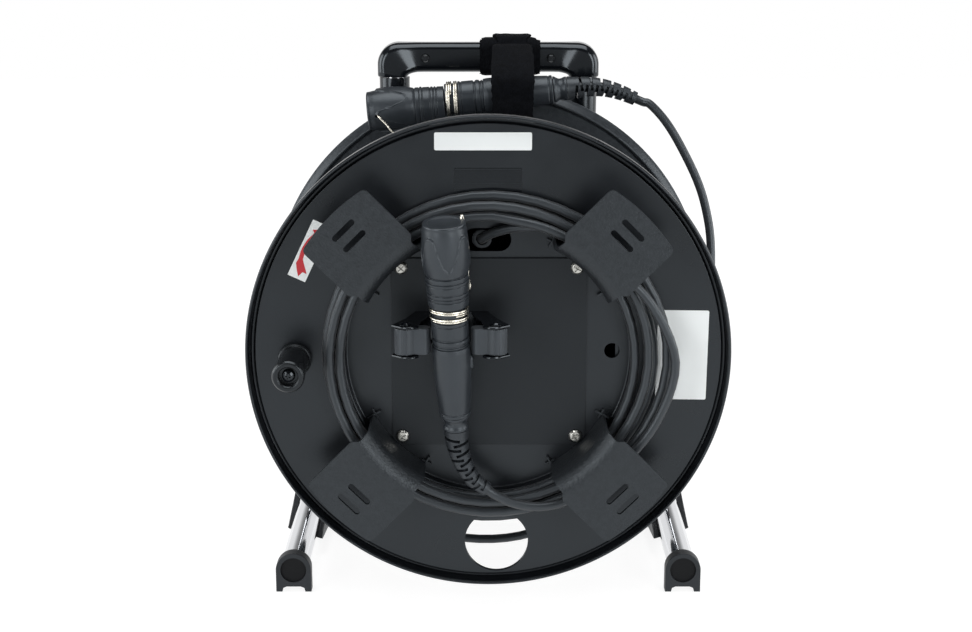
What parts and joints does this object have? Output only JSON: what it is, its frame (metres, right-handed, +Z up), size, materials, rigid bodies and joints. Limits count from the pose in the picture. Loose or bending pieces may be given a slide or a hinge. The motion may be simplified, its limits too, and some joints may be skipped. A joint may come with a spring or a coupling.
{
  "type": "cable reel with fibre optic cable",
  "caption": "Black cable drum turning on a chrome tube stand with carry handle, wound with thin fibre cable, two rugged capped connectors and a crank knob.",
  "frame": {"origin": "on the floor, at the bottom centre of the reel without its free leads", "axes": "+Z up, -Y towards the drum's face with the coil and the crank knob, +X to the right seen from there; the drum turns about Y"},
  "size_m": [0.312, 0.2509, 0.3607],
  "materials": {
    "chrome": "polished chrome plate",
    "foot_plastic": "matte black moulding",
    "black_steel": "satin black powder coat",
    "steel": "plain steel",
    "gloss_black": "glossy black moulding",
    "zinc": "bright zinc plate",
    "strap": "black hook-and-loop tape",
    "cable": "satin black cable jacket",
    "connector_rubber": "soft matte black",
    "bronze": "sintered bronze",
    "textured_plastic": "fine-grained black moulding",
    "jaw_rubber": "dark grey rubber",
    "satin_plastic": "satin black moulding"
  },
  "bodies": {
    "frame": {"frame_tube_left": "chrome", "frame_tube_right": "chrome", "front_foot_left": "foot_plastic", "front_foot_right": "foot_plastic", "rear_foot_left": "foot_plastic", "rear_foot_right": "foot_plastic", "crossbar": "black_steel", "crossbar_rivet_left": "steel", "crossbar_rivet_right": "steel", "axle": "steel", "axle_spacer": "steel", "axle_washer": "steel", "retaining_ring": "steel", "handle_front": "gloss_black", "handle_rear": "gloss_black", "handle_screw_left": "zinc", "handle_screw_right": "zinc", "strap_wrap": "strap", "strap_loop": "strap", "outer_cap": "connector_rubber", "outer_body": "connector_rubber", "outer_collar": "connector_rubber", "outer_lanyard_ring": "steel", "outer_lanyard_wire": "steel", "outer_boot": "connector_rubber", "outer_lead": "cable"},
    "drum": {"front_flange": "black_steel", "rear_flange": "black_steel", "barrel": "black_steel", "pack_core": "cable", "pack_winding": "cable", "bush_front": "bronze", "bush_rear": "bronze", "cover_plate": "black_steel", "cover_screw_1": "zinc", "cover_screw_2": "zinc", "cover_screw_3": "zinc", "cover_screw_4": "zinc", "guard_1": "textured_plastic", "guard_2": "textured_plastic", "guard_3": "textured_plastic", "guard_4": "textured_plastic", "knob_spindle": "zinc", "knob_nut": "zinc", "clip_bracket": "gloss_black", "clip_pin_left": "steel", "clip_pin_right": "steel", "inner_cap": "connector_rubber", "inner_body": "connector_rubber", "inner_collar": "connector_rubber", "inner_lanyard_ring": "steel", "inner_lanyard_wire": "steel", "inner_boot": "connector_rubber", "inner_lead": "cable", "lead_gland": "connector_rubber"},
    "knob": {"knob_grip": "satin_plastic"},
    "jaw_left": {"clip_jaw_left": "jaw_rubber"},
    "jaw_right": {"clip_jaw_right": "jaw_rubber"}
  },
  "joints": [
    {"name": "drum_spin", "type": "hinge", "parent": "frame", "child": "drum", "pos_m": [0, -0.0795, 0.172], "axis": [0, -1, 0], "continuous": true},
    {"name": "knob_spin", "type": "hinge", "parent": "drum", "child": "knob", "pos_m": [-0.1234, -0.0795, 0.1703], "axis": [0, -1, 0], "continuous": true},
    {"name": "jaw_left_swing", "type": "hinge", "parent": "drum", "child": "jaw_left", "pos_m": [-0.0514, -0.105, 0.172], "axis": [0, 0, -1], "range_deg": [0, 35], "stiffness_Nm_per_rad": 0.02},
    {"name": "jaw_right_swing", "type": "hinge", "parent": "drum", "child": "jaw_right", "pos_m": [0.005, -0.105, 0.172], "axis": [0, 0, 1], "range_deg": [0, 35], "stiffness_Nm_per_rad": 0.02}
  ]
}
